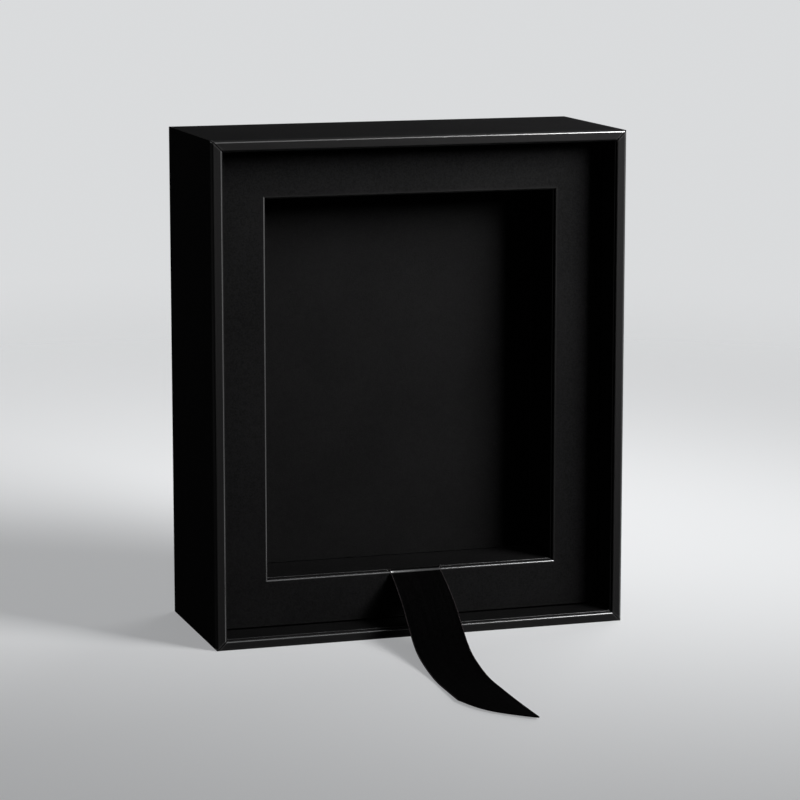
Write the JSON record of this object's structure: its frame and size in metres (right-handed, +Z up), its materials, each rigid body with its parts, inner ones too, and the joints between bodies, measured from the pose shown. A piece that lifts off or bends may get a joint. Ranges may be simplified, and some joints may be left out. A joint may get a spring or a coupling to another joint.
{
  "type": "sliding drawer gift box",
  "caption": "Upright presentation box: a thick-walled case open at the front, holding a drawer with a windowed face frame, a deep lined well and a ribbon pull.",
  "frame": {"origin": "centre of the case's underside, on the surface that the box stands on", "axes": "+Z up, the open front with the ribbon faces -Y, and +X is to the right when one faces the open front"},
  "size_m": [0.2, 0.238, 0.236],
  "materials": {
    "wrap_paper": "black wrapping paper with a fine grain, matt to satin",
    "lining_card": "black papered lining card, matt",
    "greyboard": "bare grey binder's board",
    "kraft_tape": "brown gummed paper",
    "ribbon_satin": "black satin ribbon, fine lengthwise weave with a thin selvedge"
  },
  "bodies": {
    "case": {"case_left_board": "greyboard", "case_left_wrap": "wrap_paper", "case_left_liner": "lining_card", "case_right_board": "greyboard", "case_right_wrap": "wrap_paper", "case_right_liner": "lining_card", "case_top_board": "greyboard", "case_top_wrap": "wrap_paper", "case_top_liner": "lining_card", "case_bottom_board": "greyboard", "case_bottom_wrap": "wrap_paper", "case_bottom_liner": "lining_card", "case_back_board": "greyboard", "case_back_liner": "lining_card", "case_back_sheet": "wrap_paper"},
    "drawer": {"face_frame_board": "greyboard", "face_frame_wrap": "wrap_paper", "tray_left_board": "greyboard", "tray_left_wrap": "wrap_paper", "tray_right_board": "greyboard", "tray_right_wrap": "wrap_paper", "tray_top_board": "greyboard", "tray_top_wrap": "wrap_paper", "tray_bottom_board": "greyboard", "tray_bottom_wrap": "wrap_paper", "tray_back_board": "greyboard", "tray_back_sheet": "wrap_paper", "tray_bottom_left_stay": "kraft_tape", "tray_bottom_right_stay": "kraft_tape", "tray_top_left_stay": "kraft_tape", "tray_top_right_stay": "kraft_tape", "well_left_board": "greyboard", "well_left_lining": "lining_card", "well_right_board": "greyboard", "well_right_lining": "lining_card", "well_top_board": "greyboard", "well_top_lining": "lining_card", "well_bottom_board": "greyboard", "well_bottom_lining": "lining_card", "well_floor_board": "greyboard", "well_floor_lining": "lining_card", "floor_spacer_left": "greyboard", "floor_spacer_right": "greyboard", "ribbon_tail": "ribbon_satin", "ribbon_patch": "kraft_tape"},
    "ribbon": {"ribbon_pull": "ribbon_satin"}
  },
  "joints": [
    {"name": "drawer_slide", "type": "slide", "parent": "case", "child": "drawer", "axis": [0, -1, 0], "range_m": [0, 0.065]},
    {"name": "ribbon_lift", "type": "hinge", "parent": "drawer", "child": "ribbon", "pos_m": [0.0015, -0.025, 0.02865], "axis": [-1, 0, 0], "range_deg": [0, 60]}
  ]
}
